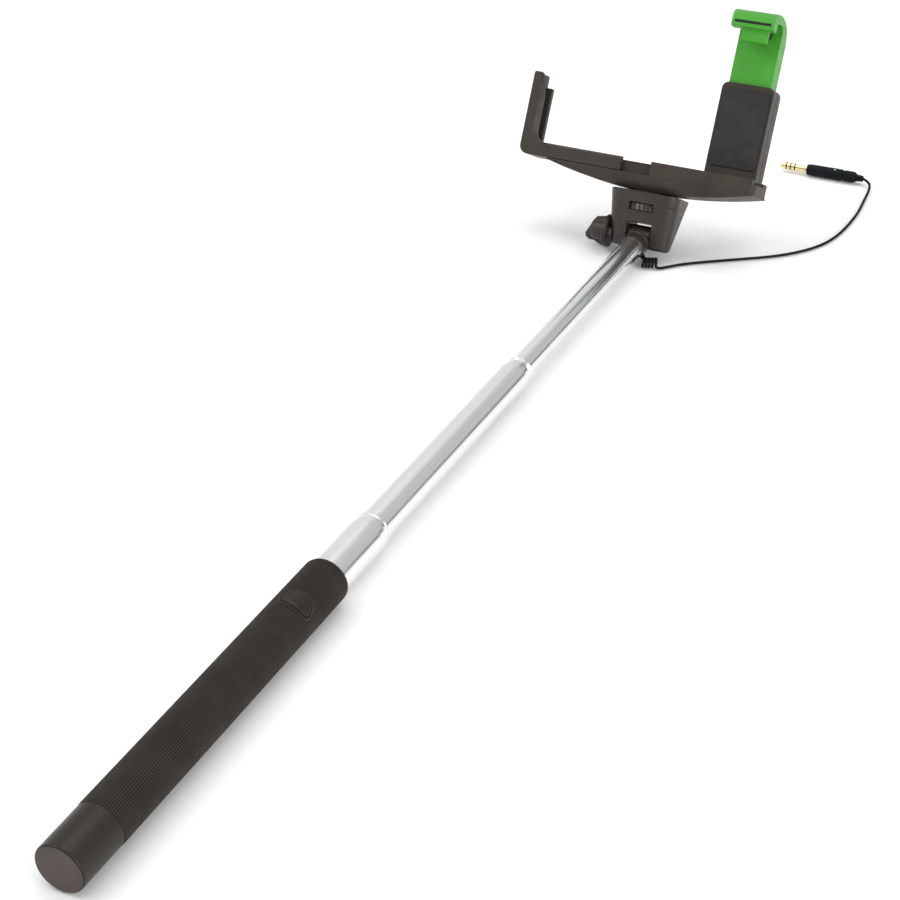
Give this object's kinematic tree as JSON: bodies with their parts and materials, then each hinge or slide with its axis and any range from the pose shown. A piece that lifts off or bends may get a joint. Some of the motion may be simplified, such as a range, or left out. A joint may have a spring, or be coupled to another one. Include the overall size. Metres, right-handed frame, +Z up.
{
  "type": "selfie stick",
  "caption": "Wired telescopic selfie stick: ribbed rubber handle with a shutter button, two tube sections, tilting head block and sliding phone cradle, with a plug-in lead.",
  "frame": {"origin": "centre of the object's box without its free lead, on the surface that the stick lies on", "axes": "+Y along the stick from the end cap to the head, +X from the side arm to the top clamp along the cradle, +Z up"},
  "size_m": [0.1471, 0.5907, 0.1095],
  "materials": {
    "black_plastic": "satin moulded",
    "cap_plastic": "smooth satin",
    "grip_rubber": "fine lengthwise ribs",
    "tube_chrome": "polished plating",
    "clamp_green": "satin moulded",
    "pad_rubber": "matt",
    "lead_rubber": "satin jacket",
    "steel": "zinc plated",
    "brass": "turned",
    "jack_plating": "plated",
    "insulator": "smooth",
    "board": "circuit board"
  },
  "bodies": {
    "handle": {"end_cap": "cap_plastic", "grip_sleeve": "grip_rubber", "outer_tube": "tube_chrome", "outer_tube_bush": "black_plastic", "button_bezel": "black_plastic", "switch_board": "board", "switch_dome": "steel"},
    "shutter_button": {"shutter_button": "cap_plastic"},
    "middle_section": {"middle_tube": "tube_chrome", "middle_tube_ring": "black_plastic", "middle_tube_bush": "black_plastic"},
    "inner_section": {"inner_tube": "tube_chrome", "inner_tube_ring": "black_plastic", "tip_collar": "black_plastic", "knuckle": "black_plastic", "cord_relief": "lead_rubber", "cord_coil": "lead_rubber", "cord": "lead_rubber", "plug_body": "black_plastic", "plug_relief": "lead_rubber", "jack_sleeve": "jack_plating", "jack_insulators": "insulator", "jack_contacts": "jack_plating"},
    "head_block": {"block_fork": "black_plastic", "block_top": "black_plastic", "block_screws": "steel", "swivel_pad": "pad_rubber", "tilt_nut": "steel", "friction_washers": "pad_rubber"},
    "wing_knob": {"wing_knob": "black_plastic", "knob_insert": "brass", "tilt_bolt": "steel"},
    "thumbwheel": {"thumbwheel": "black_plastic", "tripod_stud": "steel"},
    "cradle": {"cradle_hull": "black_plastic", "hull_screws": "steel", "tripod_insert": "brass", "cradle_tray": "black_plastic", "shelf_pad": "pad_rubber", "back_housing": "black_plastic", "back_cover": "black_plastic", "back_pad": "pad_rubber", "detent_spring": "steel", "cover_screws": "steel"},
    "side_arm": {"side_arm": "black_plastic", "arm_rail": "steel", "arm_screws": "steel", "arm_pad": "pad_rubber"},
    "top_clamp": {"top_clamp": "clamp_green", "clamp_pad": "pad_rubber", "clamp_strip": "pad_rubber"}
  },
  "joints": [
    {"name": "middle_slide", "type": "slide", "parent": "handle", "child": "middle_section", "axis": [0, -1, 0], "range_m": [0, 0.116]},
    {"name": "inner_slide", "type": "slide", "parent": "middle_section", "child": "inner_section", "axis": [0, -1, 0], "range_m": [0, 0.105]},
    {"name": "head_tilt", "type": "hinge", "parent": "inner_section", "child": "head_block", "pos_m": [0.0071, 0.20344, 0.00915], "axis": [1, 0, 0], "range_deg": [-60, 29]},
    {"name": "knob_turn", "type": "hinge", "parent": "head_block", "child": "wing_knob", "pos_m": [-0.0129, 0.20344, 0.00915], "axis": [1, 0, 0], "range_deg": [-180, 180]},
    {"name": "wheel_turn", "type": "hinge", "parent": "head_block", "child": "thumbwheel", "pos_m": [0.0071, 0.20982, 0.02064], "axis": [0, 0.4856, 0.8742], "continuous": true},
    {"name": "cradle_swivel", "type": "hinge", "parent": "head_block", "child": "cradle", "pos_m": [0.0071, 0.21363, 0.02751], "axis": [0, 0.4856, 0.8742], "range_deg": [-90, 90]},
    {"name": "arm_slide", "type": "slide", "parent": "cradle", "child": "side_arm", "axis": [1, 0, 0], "range_m": [-0.012, 0.014]},
    {"name": "clamp_slide", "type": "slide", "parent": "cradle", "child": "top_clamp", "axis": [0, 0.4856, 0.8742], "range_m": [-0.012, 0.012]},
    {"name": "button_press", "type": "slide", "parent": "handle", "child": "shutter_button", "axis": [-0.4226, 0, -0.9063], "range_m": [0, 0.00025], "stiffness_N_per_m": 1000}
  ]
}
